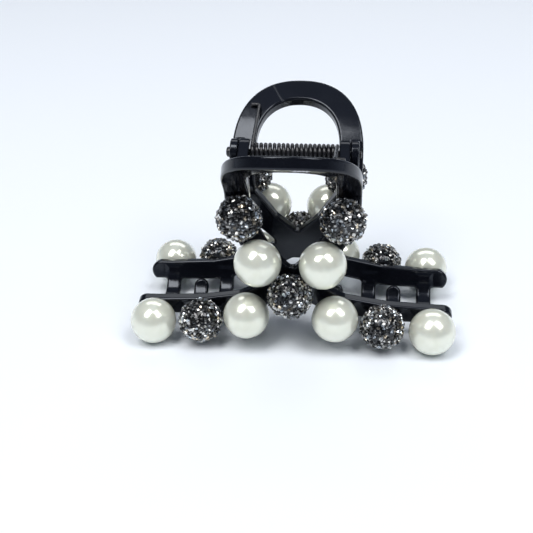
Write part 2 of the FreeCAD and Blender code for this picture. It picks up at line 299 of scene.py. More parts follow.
# ---- signed distance of a whole arm ----
def tooth_distance(x, out, up, middle):
    turn = np.degrees(np.arctan2(up - TOOTH_CENTRE[1], out - TOOTH_CENTRE[0]))
    length = TOOTH_RADIUS * np.radians(TOOTH_ROOT - turn)
    off = np.hypot(out - TOOTH_CENTRE[0], up - TOOTH_CENTRE[1]) - TOOTH_RADIUS
    share = np.clip(length / TOOTH_LENGTH, 0, 1)
    thickness = TOOTH_ROOT_THICKNESS + share * (TOOTH_TIP_THICKNESS - TOOTH_ROOT_THICKNESS)
    side = np.hypot(x - middle, np.maximum(length - TOOTH_LENGTH, 0)) - TOOTH_WIDTH / 2
    side = np.maximum(side, -TOOTH_OVERLAP - length)
    return round_and(np.abs(off) - thickness / 2, side, TOOTH_EDGE)


def lug_outline(out, up):
    """The ear's side view: a round end on the pin that widens towards the band."""
    corners = []
    for foot, turn in zip(LUG_FOOT, (1, -1)):
        angle = math.atan2(foot[1], foot[0]) + turn * math.acos(LUG_RADIUS / math.hypot(*foot))
        corners.append(((LUG_RADIUS * math.cos(angle), LUG_RADIUS * math.sin(angle)), foot))
    (upper_touch, upper), (lower_touch, lower) = corners
    ring = [upper_touch, lower_touch, lower, upper]
    inside = np.full(out.shape, -FAR)
    nearest = np.full(out.shape, FAR)
    for first, second in zip(ring, ring[1:] + ring[:1]):
        ex, ey = second[0] - first[0], second[1] - first[1]
        size = math.hypot(ex, ey)
        px, py = out - first[0], up - first[1]
        inside = np.maximum(inside, (px * ey - py * ex) / size)
        share = np.clip((px * ex + py * ey) / size ** 2, 0, 1)
        nearest = np.minimum(nearest, np.hypot(px - share * ex, py - share * ey))
    hull = np.where(inside < 0, inside, nearest)
    return np.minimum(hull, np.hypot(out, up) - LUG_RADIUS)


def seat_line(up):
    """Foot of a bead on the band's outer face, and the way outwards, as (out, up)."""
    angle = math.asin((up - JAW_CENTRE[1]) / JAW_RADIUS)
    way = (math.cos(angle), math.sin(angle))
    reach = JAW_RADIUS + BAND / 2
    return (JAW_CENTRE[0] + reach * way[0], JAW_CENTRE[1] + reach * way[1]), way


def arm_distance(side, x, out, up):
    """Band, teeth, ears and bead pegs, with the pin's bore cut out."""
    x = np.abs(x)
    off, length = unroll(out, up)
    half = BAND / 2 + (HANDLE_THICKNESS - BAND) / 2 * smooth(length / NECK_LENGTH)
    found = round_and(np.abs(off) - half, outline(x, length), BAND_EDGE)
    for middle in TEETH[side]:
        found = round_or(found, tooth_distance(x, out, up, middle), ROOT_FILLET)
    inner, outer = LUG_FACES[side]
    plate = np.abs(x - (inner + outer) / 2) - (outer - inner) / 2
    found = round_or(found, round_and(lug_outline(out, up), plate, LUG_EDGE), ROOT_FILLET)
    for seat_x, seat_up in SEATS.values():
        foot, way = seat_line(seat_up)
        po, pu = out - foot[0], up - foot[1]
        along = po * way[0] + pu * way[1]
        radial = np.hypot(x - seat_x, pu * way[0] - po * way[1]) - PEG_RADIUS
        ends = np.abs(along - PEG_LENGTH / 2 + PEG_SUNK / 2) - PEG_LENGTH / 2 - PEG_SUNK / 2
        found = np.minimum(found, round_and(radial, ends, PEG_EDGE))
    return np.maximum(found, BORE[side] - np.hypot(out, up))


# ---- from distance to mesh ----
CORNERS = [(0, 0, 0), (1, 0, 0), (0, 1, 0), (1, 1, 0), (0, 0, 1), (1, 0, 1), (0, 1, 1), (1, 1, 1)]
EDGES = [(0, 1), (2, 3), (4, 5), (6, 7), (0, 2), (1, 3), (4, 6), (5, 7),
         (0, 4), (1, 5), (2, 6), (3, 7)]


def surface_net(field, low, step):
    """Vertices and quads of the surface where field is 0: one vertex in each cell it crosses."""
    inside = field < 0
    cells = tuple(n - 1 for n in field.shape)
    count = np.zeros(cells, np.int8)
    for c in CORNERS:
        count += inside[c[0]:c[0] + cells[0], c[1]:c[1] + cells[1], c[2]:c[2] + cells[2]]
    ijk = np.stack(np.nonzero((count > 0) & (count < 8)), 1)
    number = np.full(cells, -1, np.int32)
    number[tuple(ijk.T)] = np.arange(len(ijk))
    values = np.stack([field[tuple((ijk + c).T)] for c in CORNERS], 1)
    total, hits = np.zeros((len(ijk), 3)), np.zeros(len(ijk))
    for a, b in EDGES:
        va, vb = values[:, a], values[:, b]
        crossed = (va < 0) != (vb < 0)
        share = np.where(crossed, va / np.where(crossed, va - vb, 1), 0)[:, None]
        ca, cb = np.array(CORNERS[a], float), np.array(CORNERS[b], float)
        total += np.where(crossed[:, None], ca + share * (cb - ca), 0)
        hits += crossed
    points = low + (ijk + total / hits[:, None]) * step
    quads = []
    for axis in range(3):
        first = [slice(None)] * 3
        second = [slice(None)] * 3
        first[axis], second[axis] = slice(None, -1), slice(1, None)
        a, b = inside[tuple(first)], inside[tuple(second)]
        at = np.stack(np.nonzero(a != b), 1)
        solid_low = a[tuple(at.T)]
        u, v = np.eye(3, dtype=int)[(axis + 1) % 3], np.eye(3, dtype=int)[(axis + 2) % 3]
        ring = [number[tuple((at - shift).T)] for shift in (u + v, v, 0 * u, u)]
        quad = np.stack(ring, 1)
        quads.append(np.where(solid_low[:, None], quad, quad[:, ::-1]))
    return points, np.concatenate(quads)


def gradient(distance, points):
    grown = []
    for axis in range(3):
        shift = np.zeros(3)
        shift[axis] = SLOPE_REACH
        grown.append(distance(*(points + shift).T) - distance(*(points - shift).T))
    return np.stack(grown, 1) / (2 * SLOPE_REACH)


def surface_normals(distance, points):
    slope = gradient(distance, points)
    return slope / np.maximum((slope ** 2).sum(1, keepdims=True), NORMAL_FLOOR) ** 0.5


def settle(distance, points):
    """Moves points onto the surface."""
    for _ in range(SETTLE_ROUNDS):
        slope = gradient(distance, points)
        steepness = np.maximum((slope ** 2).sum(1), SETTLE_FLOOR)
        points = points - slope * (distance(*points.T) / steepness)[:, None]
    return points


def relax(points, quads):
    """Moves every point part of the way to the middle of its neighbours."""
    total, hits = np.zeros_like(points), np.zeros(len(points))
    for a, b in ((0, 1), (1, 2), (2, 3), (3, 0)):
        for here, there in ((quads[:, a], quads[:, b]), (quads[:, b], quads[:, a])):
            for axis in range(3):
                total[:, axis] += np.bincount(here, points[there, axis], len(points))
            hits += np.bincount(here, minlength=len(points))
    return points + RELAX_SHARE * (total / hits[:, None] - points)


def new_mesh(name, points, faces, soft_shading=True):
    """points in millimetres in the clip's own frame."""
    mesh = bpy.data.meshes.new(name)
    face_list = faces.tolist() if isinstance(faces, np.ndarray) else faces
    mesh.from_pydata((np.asarray(points) * MM).tolist(), [], face_list)
    mesh.validate()
    mesh.polygons.foreach_set("use_smooth", [soft_shading] * len(mesh.polygons))
    piece = bpy.data.objects.new(name, mesh)
    bpy.context.scene.collection.objects.link(piece)
    return piece


def build_arm(side):
    def distance(x, y, z):
        return arm_distance(side, x, y, z)

    counts = [int(math.ceil((high - low) / VOXEL)) + 1 for low, high in zip(ARM_LOW, ARM_HIGH)]
    axes = [low + VOXEL * np.arange(count) for low, count in zip(ARM_LOW, counts)]
    half = np.empty(counts)
    out, up = np.meshgrid(axes[1], axes[2], indexing="ij")
    for index, x in enumerate(axes[0]):
        half[index] = distance(np.full(out.shape, x), out, up)
    field = np.concatenate([half[:0:-1], half])
    start = np.array([-axes[0][-1], ARM_LOW[1], ARM_LOW[2]])
    points, quads = surface_net(field, start, VOXEL)
    points = settle(distance, points)
    for _ in range(RELAX_ROUNDS):
        points = settle(distance, relax(points, quads))
    normals = surface_normals(distance, points)
    points = points * [1, OUT_SIGN[side], 1] + [0, 0, PIN_UP]
    normals = normals * [1, OUT_SIGN[side], 1]
    if OUT_SIGN[side] < 0:
        quads = quads[:, ::-1]
    piece = new_mesh(side + "_arm_moulding", points, quads)
    piece.data.normals_split_custom_set_from_vertices(normals.tolist())
    return piece


# ---- beads ----
FULL_TURN = 6.28
WAVES = 4
WAVE_HEIGHT = 0.006
WAVE_PITCH = 1.6
WAVE_DROP = 0.012        # the waves' middle lies this far inside the ball
BALL_SKIN = 0.01         # points nearer the ball's surface than this belong to it


def bead_place(side, kind, x_sign):
    """Centre and outward way of a bead in the clip's frame; the centre comes from the CAD box."""
    seat_x, seat_up = SEATS[kind]
    suffix = "" if seat_x == 0 else ("_right" if x_sign > 0 else "_left")
    node = side + "_" + kind + suffix
    foot, way = seat_line(seat_up)
    outward = Vector((0, way[0] * OUT_SIGN[side], way[1]))
    low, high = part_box(node)
    # The ball's far side is whole, so its outer limit gives the centre, and up follows from the seat.
    across = (low.x + high.x) / 2 / MM
    out = (high.y if OUT_SIGN[side] > 0 else -low.y) / MM - PEARL_RADIUS
    up = foot[1] + (out - foot[0]) / way[0] * way[1]
    return node, Vector((across, out * OUT_SIGN[side], PIN_UP + up)), outward


def turned(points, centre, outward, spin=0.0):
    """Points made about +Z, moved so that +Z is outward."""
    turn = outward.to_track_quat("Z", "Y").to_matrix() @ Matrix.Rotation(spin, 3, "Z")
    return np.asarray(points) @ np.array(turn).T + np.array(centre)


def lathe(profile, segments):
    """A closed surface of revolution about +Z from (radius, height) points, ends on the axis."""
    points, faces, rings = [], [], []
    for radius, height in profile:
        if radius < 1e-9:
            rings.append([len(points)])
            points.append((0.0, 0.0, height))
            continue
        rings.append(list(range(len(points), len(points) + segments)))
        for k in range(segments):
            angle = 2 * math.pi * k / segments
            points.append((radius * math.cos(angle), radius * math.sin(angle), height))
    for lower, upper in zip(rings, rings[1:]):
        for k in range(segments):
            n = (k + 1) % segments
            if len(lower) == 1:
                faces.append((lower[0], upper[n], upper[k]))
            elif len(upper) == 1:
                faces.append((lower[k], lower[n], upper[0]))
            else:
                faces.append((lower[k], lower[n], upper[n], upper[k]))
    return points, faces


def pearl_profile(radius, rings):
    """From the bottom of the blind hole, round the flat, to the top of the ball."""
    flat = -math.sqrt(radius ** 2 - FLAT_RADIUS ** 2)
    start = math.asin(FLAT_RADIUS / radius)
    profile = [(0, flat + HOLE_DEPTH), (HOLE_RADIUS, flat + HOLE_DEPTH),
               (HOLE_RADIUS, flat + HOLE_FLARE_DEPTH), (HOLE_RADIUS + HOLE_FLARE, flat),
               (FLAT_RADIUS - FLAT_BREAK, flat)]
    for k in range(rings + 1):
        angle = start + (math.pi - start) * k / rings
        profile.append((radius * math.sin(angle) if k < rings else 0, -radius * math.cos(angle)))
    return profile


def build_pearl(side, kind, x_sign, rng):
    node, centre, outward = bead_place(side, kind, x_sign)
    segments, rings = ((64, 40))
    points, faces = lathe(pearl_profile(PEARL_RADIUS, rings), segments)
    points = np.array(points)
    # Moulded balls aren't quite round: a few long, shallow waves.
    size = np.linalg.norm(points, axis=1)
    unit = points / np.maximum(size, 1e-6)[:, None]
    wave = np.zeros(len(points))
    for _ in range(WAVES):
        way = np.array([rng.gauss(0, 1) for _ in range(3)])
        wave += WAVE_HEIGHT * np.sin(unit @ way * WAVE_PITCH + rng.uniform(0, FULL_TURN))
    on_ball = size > PEARL_RADIUS - BALL_SKIN
    points[on_ball] *= 1 + (wave[on_ball, None] - WAVE_DROP) / PEARL_RADIUS
    placed = turned(points, centre, outward, rng.uniform(0, FULL_TURN))
    return node, new_mesh(node + "_bead", placed, faces)


CHIP_SHAPES = 48
CHIP_SIDES = (3, 4, 4, 5)
CHIP_LENGTH = (0.62, 0.8)
CHIP_BREADTH = (0.44, 0.6)
CHIP_TOP_SIZE = (0.5, 0.72)       # size of the flat top, as a share of the chip
CHIP_TOP = 0.3
CHIP_GIRDLE = -0.1
CHIP_GIRDLE_SPREAD = 0.12
CHIP_POINT = -0.55
CHIP_POINT_SPREAD = 0.1
CHIP_CORNER_SPREAD = 0.28         # as a share of a side's angle
SAME_FACE = math.radians(2)       # faces closer in angle than this are one face

CHIP_COUNT = 400                  # chips over the whole ball, before the underside is left out
CHIP_SEAT = 5.4                   # distance of a chip's middle from the ball's centre
CHIP_SEAT_SPREAD = (-0.2, 0.24)
CHIP_SCALE = (0.72, 1.12)
CHIP_TILT = 0.5
CHIP_HEIGHT_SPREAD = 0.012
CHIP_TURN_SPREAD = 0.05
GOLDEN_SHARE = 3 - math.sqrt(5)   # the golden angle as a share of half a turn
CHIP_LOWEST = -5.62               # just below the glue flat
BARE_UNDERSIDE = math.radians(25)
CORE_RADIUS = 5.3
CORE_TINT = (0.02, 0.02, 0.022)
STEM_MARGIN = 0.001
CRYSTAL_LIMIT = 6.15              # no chip stands further out than this

# Shares of the chips, added up, and what they get: dark, middling and bright values; then
# warm, cold and nearly white tints.
CHIP_VALUES = ((0.36, (0.03, 0.12)), (0.72, (0.18, 0.48)), (1.0, (0.6, 0.98)))
CHIP_TINTS = ((0.13, (1.0, 0.86, 0.66)), (0.4, (0.86, 0.93, 1.0)), (1.0, (1.0, 0.985, 0.95)))


def chip_shapes(rng, count):
    """Crushed chips: a flat, many-sided top, slanting sides and a blunt underside."""
    shapes = []
    for _ in range(count):
        sides = rng.choice(CHIP_SIDES)
        spin = rng.uniform(0, FULL_TURN)
        length, breadth = rng.uniform(*CHIP_LENGTH), rng.uniform(*CHIP_BREADTH)
        points = []
        for ring_size, height, spread in ((rng.uniform(*CHIP_TOP_SIZE), CHIP_TOP, 0.0),
                                          (1.0, CHIP_GIRDLE, CHIP_GIRDLE_SPREAD)):
            for k in range(sides):
                shift = rng.uniform(-CHIP_CORNER_SPREAD, CHIP_CORNER_SPREAD)
                angle = spin + (k + shift) * 2 * math.pi / sides
                points.append((length * ring_size * math.cos(angle),
                               breadth * ring_size * math.sin(angle),
                               height + rng.uniform(-spread, spread)))
        points.append((rng.uniform(-CHIP_POINT_SPREAD, CHIP_POINT_SPREAD),
                       rng.uniform(-CHIP_POINT_SPREAD, CHIP_POINT_SPREAD), CHIP_POINT))
        work = bmesh.new()
        for p in points:
            work.verts.new(p)
        hull = bmesh.ops.convex_hull(work, input=work.verts)
        loose = {v for v in hull["geom_unused"] + hull["geom_interior"]
                 if isinstance(v, bmesh.types.BMVert)}
        bmesh.ops.delete(work, geom=list(loose), context="VERTS")
        bmesh.ops.dissolve_limit(work, angle_limit=SAME_FACE, verts=work.verts, edges=work.edges)
        bmesh.ops.recalc_face_normals(work, faces=work.faces)
        work.verts.index_update()
        shapes.append((np.array([v.co[:] for v in work.verts]),
                       [tuple(v.index for v in f.verts) for f in work.faces]))
        work.free()
    return shapes


def pick(share, table):
    """The entry of a table of (upper limit, value) that a share from 0 to 1 falls in."""
    return next(value for limit, value in table if share < limit)


def chip_colour(rng):
    value = rng.uniform(*pick(rng.random(), CHIP_VALUES))
    return tuple(value * c for c in pick(rng.random(), CHIP_TINTS))


def build_crystal(side, kind, x_sign, rng, shapes):
    node, centre, outward = bead_place(side, kind, x_sign)
    core, core_faces = lathe(pearl_profile(CORE_RADIUS, 18), 32)
    core = np.array(core)
    # The ball stays centred: only its glue flat and blind hole reach down to the seat.
    stem = (np.hypot(core[:, 0], core[:, 1]) < FLAT_RADIUS + STEM_MARGIN) & (core[:, 2] < 0)
    core[stem, 2] -= (math.sqrt(PEARL_RADIUS ** 2 - FLAT_RADIUS ** 2)
                      - math.sqrt(CORE_RADIUS ** 2 - FLAT_RADIUS ** 2))
    points, faces, tints = [core], list(core_faces), [CORE_TINT] * len(core_faces)
    start = len(core)
    for index in range(CHIP_COUNT):
        height = 1 - 2 * (index + 0.5) / CHIP_COUNT + rng.gauss(0, CHIP_HEIGHT_SPREAD)
        height = max(-1.0, min(1.0, height))
        turn = index * math.pi * GOLDEN_SHARE + rng.gauss(0, CHIP_TURN_SPREAD)
        ring = math.sqrt(1 - height * height)
        way = Vector((ring * math.cos(turn), ring * math.sin(turn), height))
        shape, shape_faces = shapes[rng.randrange(len(shapes))]
        scale = rng.uniform(*CHIP_SCALE)
        tilt = Matrix.Rotation(rng.gauss(0, CHIP_TILT), 3,
                               Vector((rng.gauss(0, 1), rng.gauss(0, 1), 0.01)))
        spin = Matrix.Rotation(rng.uniform(0, FULL_TURN), 3, "Z")
        facing = way.to_track_quat("Z", "Y").to_matrix() @ spin
        seat = CHIP_SEAT + rng.uniform(*CHIP_SEAT_SPREAD)
        placed = (shape * scale) @ np.array(facing @ tilt).T + np.array(way) * seat
        colour = chip_colour(rng)
        if height < -math.cos(BARE_UNDERSIDE):
            continue
        # Chips that stand too far out or reach below the glue flat are pushed back.
        size = np.linalg.norm(placed, axis=1)
        placed *= np.minimum(1, CRYSTAL_LIMIT / size)[:, None]
        placed[:, 2] = np.maximum(placed[:, 2], CHIP_LOWEST)
        points.append(placed)
        faces += [tuple(start + v for v in f) for f in shape_faces]
        tints += [colour] * len(shape_faces)
        start += len(placed)
    piece = new_mesh(node + "_bead", turned(np.concatenate(points), centre, outward), faces, False)
    mesh = piece.data
    if len(mesh.polygons) != len(tints):
        raise ValueError(f"{node}: {len(mesh.polygons)} faces for {len(tints)} tints")
    layer = mesh.color_attributes.new("chip_tint", "FLOAT_COLOR", "CORNER")
    corners = [len(polygon.vertices) for polygon in mesh.polygons]
    per_corner = np.repeat(np.array([(*tint, 1.0) for tint in tints]), corners, axis=0)
    layer.data.foreach_set("color", per_corner.ravel())
    return node, piece


# ---- pin and spring ----
# The pin's two ends as (radius, distance in from that end).
PIN_HEAD = ((0, 0), (0.75, 0.02), (1.22, 0.3), (1.38, 1.2))
PIN_RIVET = ((0.88, 0.42), (0.86, 0.12), (0.5, 0.02), (0, 0))
PIN_RADIUS = 0.88
PIN_EDGE = 0.16
CORNER_STEPS = 5
CORNER_SHARE = 2.2       # a rounding takes at most 1 / this of either line


def rounded_profile(points, radius):
    """Rounds the inner points of an (r, h) line."""
    done = [points[0]]
    for before, here, after in zip(points, points[1:], points[2:]):
        b, h, a = Vector(before), Vector(here), Vector(after)
        reach = min(radius, (b - h).length / CORNER_SHARE, (a - h).length / CORNER_SHARE)
        start, end = h + (b - h).normalized() * reach, h + (a - h).normalized() * reach
        for k in range(CORNER_STEPS + 1):
            t = k / CORNER_STEPS
            p = start * (1 - t) ** 2 + h * 2 * t * (1 - t) + end * t ** 2
            done.append((p.x, p.y))
    return done + [points[-1]]


def build_pin():
    low, high = (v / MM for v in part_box("hinge_pin"))
    profile = [(radius, low.x + inward) for radius, inward in PIN_HEAD]
    profile.append((PIN_RADIUS, profile[-1][1]))
    profile += [(radius, high.x - inward) for radius, inward in PIN_RIVET]
    points, faces = lathe(rounded_profile(profile, PIN_EDGE), 40)
    along = [(p[2], p[0], p[1] + PIN_UP) for p in points]
    return new_mesh("hinge_pin_riveted", along, faces)


SPRING_X = 10.6
SPRING_MEAN = 2.0
WIRE_RADIUS = 0.5
TURNS = 19
SPRING_REACH = 17.5
HOOK = 2.2
HOOK_BEND = 0.85
HOOK_GAP = 0.05
TURN_STEPS = 40
BEND_STEPS = 8
LEG_STEPS = 14
WIRE_SIDES = 14
WIRE_END = ((0.8, 0.12), (0.45, 0.18))   # the rounded wire end: ring size and how far it stands out


def spring_path():
    """The wire's middle line: left hook and leg, coil, right leg and hook."""
    rest_radius = HANDLE_RADIUS + HANDLE_THICKNESS / 2 + HOOK_GAP + WIRE_RADIUS
    rest_turn = math.acos((SPRING_REACH - HANDLE_CENTRE[0]) / rest_radius)
    corner = Vector((-SPRING_X, SPRING_REACH, HANDLE_CENTRE[1] + rest_radius * math.sin(rest_turn)))
    # The leg leaves the coil along its tangent.
    distance = math.hypot(corner.y, corner.z)
    touch = math.atan2(corner.z, corner.y) + math.acos(SPRING_MEAN / distance)
    total = 2 * math.pi * TURNS + 2 * (math.pi / 2 - touch)
    coil = []
    count = TURNS * TURN_STEPS
    for k in range(count + 1):
        t = k / count
        turn = touch + total * t
        coil.append(Vector((-SPRING_X + 2 * SPRING_X * t,
                            SPRING_MEAN * math.cos(turn), SPRING_MEAN * math.sin(turn))))
    end = Vector((-SPRING_X - HOOK, SPRING_REACH, corner.z))
    leg_way = (coil[0] - corner).normalized()
    hook_way = (end - corner).normalized()
    bend = [corner + hook_way * HOOK_BEND * (1 - t) ** 2 + leg_way * HOOK_BEND * t ** 2
            for t in (k / BEND_STEPS for k in range(BEND_STEPS + 1))]
    straight = [bend[-1].lerp(coil[0], k / LEG_STEPS) for k in range(1, LEG_STEPS)]
    left = [end, end.lerp(bend[0], 0.5), *bend, *straight]
    right = [Vector((-p.x, -p.y, p.z)) for p in reversed(left)]
    return left + coil + right


def build_spring():
    path = spring_path()
    points, faces = [], []
    normal = Vector((0, 0, 1))
    for index, p in enumerate(path):
        ahead = path[min(index + 1, len(path) - 1)] - path[max(index - 1, 0)]
        way = ahead.normalized()
        normal = (normal - way * normal.dot(way)).normalized()
        other = way.cross(normal)
        for k in range(WIRE_SIDES):
            angle = 2 * math.pi * k / WIRE_SIDES
            points.append(p + (normal * math.cos(angle) + other * math.sin(angle)) * WIRE_RADIUS)
    for index in range(len(path) - 1):
        for k in range(WIRE_SIDES):
            a, b = index * WIRE_SIDES + k, index * WIRE_SIDES + (k + 1) % WIRE_SIDES
            faces.append((a, b, b + WIRE_SIDES, a + WIRE_SIDES))
    for first, tip, before, flip in ((0, path[0], path[1], True),
                                     ((len(path) - 1) * WIRE_SIDES, path[-1], path[-2], False)):
        way = (tip - before).normalized()
        rim = list(range(first, first + WIRE_SIDES))
        for shrink, push in WIRE_END:
            inner = []
            for k in range(WIRE_SIDES):
                inner.append(len(points))
                points.append(tip + (points[first + k] - tip) * shrink + way * push)
            for k in range(WIRE_SIDES):
                n = (k + 1) % WIRE_SIDES
                quad = (rim[k], rim[n], inner[n], inner[k])
                faces.append(quad[::-1] if flip else quad)
            rim = inner
        faces.append(tuple(reversed(rim)) if flip else tuple(rim))
    return new_mesh("closing_spring", [(p.x, p.y, p.z + PIN_UP) for p in points], faces)


# ---- materials ----
class Nodes:
    """A short way to write a node material."""

    def __init__(self, name):
        self.material = bpy.data.materials.new(name)
        self.material.use_nodes = True
        self.tree = self.material.node_tree
        self.tree.nodes.clear()
        self.shader = self.add("ShaderNodeBsdfPrincipled")
        self.link(self.shader.outputs[0], self.add("ShaderNodeOutputMaterial").inputs[0])
        self.place = self.add("ShaderNodeTexCoord").outputs["Object"]

    def add(self, kind, **values):
        node = self.tree.nodes.new(kind)
        for key, value in values.items():
            setattr(node, key, value)
        return node

    def link(self, output, socket):
        self.tree.links.new(output, socket)

    def set(self, **values):
        for key, value in values.items():
            self.shader.inputs[key.replace("_", " ")].default_value = value

    def stretched(self, scale, turn=(0, 0, 0)):
        node = self.add("ShaderNodeMapping")
        node.inputs["Scale"].default_value = scale
        node.inputs["Rotation"].default_value = turn
        self.link(self.place, node.inputs["Vector"])
        return node.outputs[0]

    def noise(self, scale, detail=3.0, rough=0.5, vector=None, distortion=0.0):
        node = self.add("ShaderNodeTexNoise")
        node.inputs["Scale"].default_value = scale
        node.inputs["Detail"].default_value = detail
        node.inputs["Roughness"].default_value = rough
        node.inputs["Distortion"].default_value = distortion
        self.link(vector or self.place, node.inputs["Vector"])
        return node.outputs["Fac"]

    def ramp(self, source, stops):
        node = self.add("ShaderNodeValToRGB")
        node.color_ramp.elements.remove(node.color_ramp.elements[1])
        for index, (at, colour) in enumerate(stops):
            colour = (colour, colour, colour, 1) if isinstance(colour, float) else (*colour, 1)
            element = node.color_ramp.elements[0] if index == 0 else node.color_ramp.elements.new(at)
            element.position, element.color = at, colour
        self.link(source, node.inputs[0])
        return node.outputs["Color"]

    def span(self, source, low, high, to_low, to_high):
        node = self.add("ShaderNodeMapRange")
        for index, value in enumerate((low, high, to_low, to_high)):
            node.inputs[index + 1].default_value = value
        self.link(source, node.inputs[0])
        return node.outputs[0]

    def math(self, operation, a, b):
        node = self.add("ShaderNodeMath", operation=operation)
        for index, value in enumerate((a, b)):
            if isinstance(value, (int, float)):
                node.inputs[index].default_value = value
            else:
                self.link(value, node.inputs[index])
        return node.outputs[0]

    def bump(self, height, strength, distance, under=None):
        node = self.add("ShaderNodeBump")
        node.inputs["Strength"].default_value = strength
        node.inputs["Distance"].default_value = distance
        self.link(height, node.inputs["Height"])
        if under:
            self.link(under, node.inputs["Normal"])
        return node.outputs[0]


SCRATCH_SOFTNESS = 0.04
# A weld line crosses the back handle left of its middle: a point on it and its direction, as (x, z).
WELD_LINE = ((-0.00555, (PIN_UP + 7.55) * MM), (-0.73, 0.683))
WELD_WOBBLE = 0.00006
WELD_CORE, WELD_EDGE = 0.00010, 0.00022  # the line is full out to the first, and gone at the second
WELD_FADE = (-0.0025, -0.002)            # it fades in between these heights over its point


def scratches(nodes, vector_scale, turn, sharp):
    """Fine hair lines: a noise stretched one way, only its crests kept."""
    lines = nodes.noise(1.0, 2.0, 0.5, nodes.stretched(vector_scale, turn))
    return nodes.span(lines, sharp, sharp + SCRATCH_SOFTNESS, 0.0, 1.0)


def weld_mask(n, weld_line):
    """1 on a thin, slightly wavy line, 0 beside it."""
    (px, pz), (dx, dz) = weld_line
    split = n.add("ShaderNodeSeparateXYZ")
    n.link(n.place, split.inputs[0])
    wobble = n.span(n.noise(300, 2), 0.3, 0.7, -WELD_WOBBLE, WELD_WOBBLE)
    across = n.math("SUBTRACT", n.math("MULTIPLY", split.outputs[0], dz),
                    n.math("MULTIPLY", split.outputs[2], dx))
    away = n.math("ADD", across, px * -dz + pz * dx)
    away = n.math("ABSOLUTE", n.math("ADD", away, wobble), 0)
    line = n.span(away, WELD_CORE, WELD_EDGE, 1.0, 0.0)
    fade = n.span(split.outputs[2], pz + WELD_FADE[0], pz + WELD_FADE[1], 0.0, 1.0)
    return n.math("MULTIPLY", line, fade)


def black_plastic(name, weld_line=None):
    n = Nodes(name)
    handling = n.noise(140, 4, 0.6)
    shades = [(0.35, (0.0032, 0.0037, 0.006)), (0.7, (0.0058, 0.0067, 0.0102))]
    n.link(n.ramp(n.noise(60, 3), shades), n.shader.inputs["Base Color"])
    first = scratches(n, (2600, 160, 160), (0.3, 0.5, 0.9), 0.72)
    second = scratches(n, (160, 2400, 160), (0.9, 0.2, -0.6), 0.73)
    marks = n.math("MAXIMUM", first, second)
    rough = n.math("ADD", n.span(handling, 0.35, 0.7, 0.1, 0.2), n.math("MULTIPLY", marks, 0.1))
    peel = n.bump(n.noise(420, 2, 0.4), 0.05, 0.0004)
    normal = n.bump(marks, 0.05, 0.00004, peel)
    if weld_line:
        weld = weld_mask(n, weld_line)
        rough = n.math("ADD", rough, n.math("MULTIPLY", weld, 0.35))
        normal = n.bump(weld, 0.5, 0.0001, normal)
    n.link(rough, n.shader.inputs["Roughness"])
    n.link(normal, n.shader.inputs["Normal"])
    n.set(IOR=1.48, Specular_IOR_Level=0.38, Specular_Tint=(0.84, 0.9, 1.0, 1),
          Coat_Weight=0.05, Coat_Roughness=0.03)
    return n.material


def black_metal():
    n = Nodes("black_coated_steel")
    wear = n.noise(500, 4, 0.6)
    shades = [(0.4, (0.008, 0.008, 0.010)), (0.62, (0.014, 0.014, 0.017)), (0.74, (0.04, 0.04, 0.044))]
    n.link(n.ramp(wear, shades), n.shader.inputs["Base Color"])
    n.link(n.span(wear, 0.3, 0.75, 0.22, 0.4), n.shader.inputs["Roughness"])
    n.link(n.bump(n.noise(1800, 3), 0.08, 0.0001), n.shader.inputs["Normal"])
    n.set(Metallic=0.2, IOR=1.5, Coat_Weight=0.2, Coat_Roughness=0.16)
    return n.material


def pearl_lacquer():
    n = Nodes("pearl_lacquer")
    cloud = n.noise(170, 3, 0.5, distortion=0.6)
    base = n.ramp(cloud, [(0.3, (0.82, 0.83, 0.70)), (0.55, (0.87, 0.885, 0.765)),
                          (0.8, (0.85, 0.855, 0.725))])
    # Painted shade: where the ball turns away from the camera, its colour is mixed towards a darker
    # olive grey (the rim colour below). This stands in for the shade along the ball's outline.
    edge = n.add("ShaderNodeLayerWeight")
    edge.inputs["Blend"].default_value = 0.35
    rim = n.add("ShaderNodeMix", data_type="RGBA")
    n.link(n.span(edge.outputs["Facing"], 0.35, 1.0, 0.0, 0.75), rim.inputs["Factor"])
    n.link(base, rim.inputs["A"])
    rim.inputs["B"].default_value = (0.72, 0.715, 0.57, 1)
    n.link(rim.outputs["Result"], n.shader.inputs["Base Color"])
    n.link(n.span(n.noise(320, 3), 0.3, 0.7, 0.16, 0.24), n.shader.inputs["Roughness"])
    n.link(n.bump(n.noise(230, 2, 0.4), 0.05, 0.0002), n.shader.inputs["Normal"])
    n.set(Metallic=0.35, IOR=1.6, Coat_Weight=0.7, Coat_Roughness=0.06, Coat_IOR=1.6,
          Subsurface_Weight=0.12, Subsurface_Radius=(0.0012, 0.001, 0.0008), Subsurface_Scale=1.0)
    return n.material


def crystal_chips():
    n = Nodes("gunmetal_chips")
    tint = n.add("ShaderNodeVertexColor", layer_name="chip_tint")
    patch = n.add("ShaderNodeMix", data_type="RGBA", blend_type="MULTIPLY")
    patch.inputs["Factor"].default_value = 0.5
    n.link(tint.outputs["Color"], patch.inputs["A"])
    n.link(n.ramp(n.noise(900, 3), [(0.3, 0.45), (0.7, 1.0)]), patch.inputs["B"])
    n.link(patch.outputs["Result"], n.shader.inputs["Base Color"])
    n.link(n.span(n.noise(1500, 2), 0.3, 0.7, 0.1, 0.3), n.shader.inputs["Roughness"])
    n.set(Metallic=0.85, IOR=1.9, Coat_Weight=0.6, Coat_Roughness=0.03)
    return n.material


# ---- make the pieces ----
rng = random.Random(20195)
metal = black_metal()
nacre = pearl_lacquer()
chips = crystal_chips()

for side in ("back", "front"):
    arm = build_arm(side)
    weld_line = WELD_LINE if side == "back" else None
    arm.data.materials.append(black_plastic(side + "_black_plastic", weld_line))
    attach(arm, BODY[side])
    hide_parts(side + "_arm")

